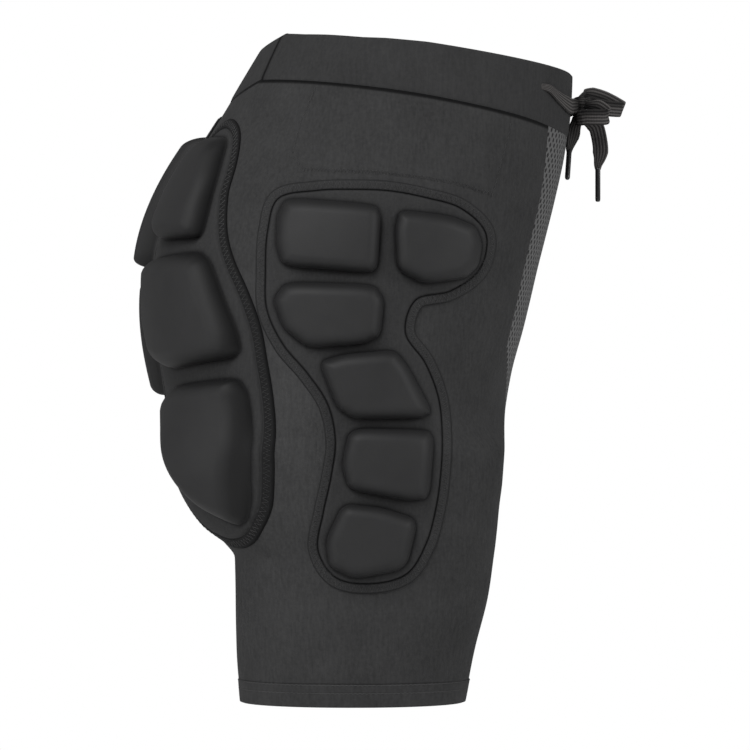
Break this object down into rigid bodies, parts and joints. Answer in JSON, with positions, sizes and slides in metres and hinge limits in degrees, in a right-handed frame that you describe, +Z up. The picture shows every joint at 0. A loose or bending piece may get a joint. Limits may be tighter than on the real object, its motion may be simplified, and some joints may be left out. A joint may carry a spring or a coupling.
{
  "type": "padded hip protection shorts",
  "caption": "Snug shorts with hip pads of raised foam cells on both sides, seat pads, a tailbone pad, a mesh front and a tied waist.",
  "frame": {"origin": "centre of the waist opening, where the shorts sit on the body that wears them", "axes": "+Z up out of the waist opening; the wearer faces -Y and the wearer's right side is at -X"},
  "size_m": [0.3526, 0.3432, 0.4616],
  "materials": {
    "knit_fabric": "matt stretch knit",
    "mesh_fabric": "open mesh knit",
    "waistband_knit": "folded elastic knit",
    "quilted_fabric": "zigzag stitched fabric",
    "moulded_foam": "smooth moulded foam faced with cloth",
    "flat_tape": "ribbed flat tape",
    "aglet_plastic": "smooth"
  },
  "bodies": {
    "root": {"side_panel_right": "knit_fabric", "side_panel_left": "knit_fabric", "front_mesh": "mesh_fabric", "waistband_front": "waistband_knit", "waistband_back": "waistband_knit", "leg_hem_right": "knit_fabric", "leg_hem_left": "knit_fabric", "hip_pad_backing_right": "quilted_fabric", "hip_pad_backing_left": "quilted_fabric", "hip_cell_1_right": "moulded_foam", "hip_cell_1_left": "moulded_foam", "hip_cell_2_right": "moulded_foam", "hip_cell_2_left": "moulded_foam", "hip_cell_3_right": "moulded_foam", "hip_cell_3_left": "moulded_foam", "hip_cell_4_right": "moulded_foam", "hip_cell_4_left": "moulded_foam", "hip_cell_5_right": "moulded_foam", "hip_cell_5_left": "moulded_foam", "hip_cell_6_right": "moulded_foam", "hip_cell_6_left": "moulded_foam", "seat_pad_backing_right": "quilted_fabric", "seat_pad_backing_left": "quilted_fabric", "seat_cell_1_right": "moulded_foam", "seat_cell_1_left": "moulded_foam", "seat_cell_2_right": "moulded_foam", "seat_cell_2_left": "moulded_foam", "seat_cell_3_right": "moulded_foam", "seat_cell_3_left": "moulded_foam", "tailbone_backing": "quilted_fabric", "tailbone_cell_1": "moulded_foam", "tailbone_cell_2": "moulded_foam", "drawstring_lead_right": "flat_tape", "drawstring_lead_left": "flat_tape", "bow_knot": "flat_tape", "bow_loop_right": "flat_tape", "bow_loop_left": "flat_tape", "bow_tail_right": "flat_tape", "bow_tail_left": "flat_tape", "aglet_right": "aglet_plastic", "aglet_left": "aglet_plastic"}
  },
  "joints": []
}
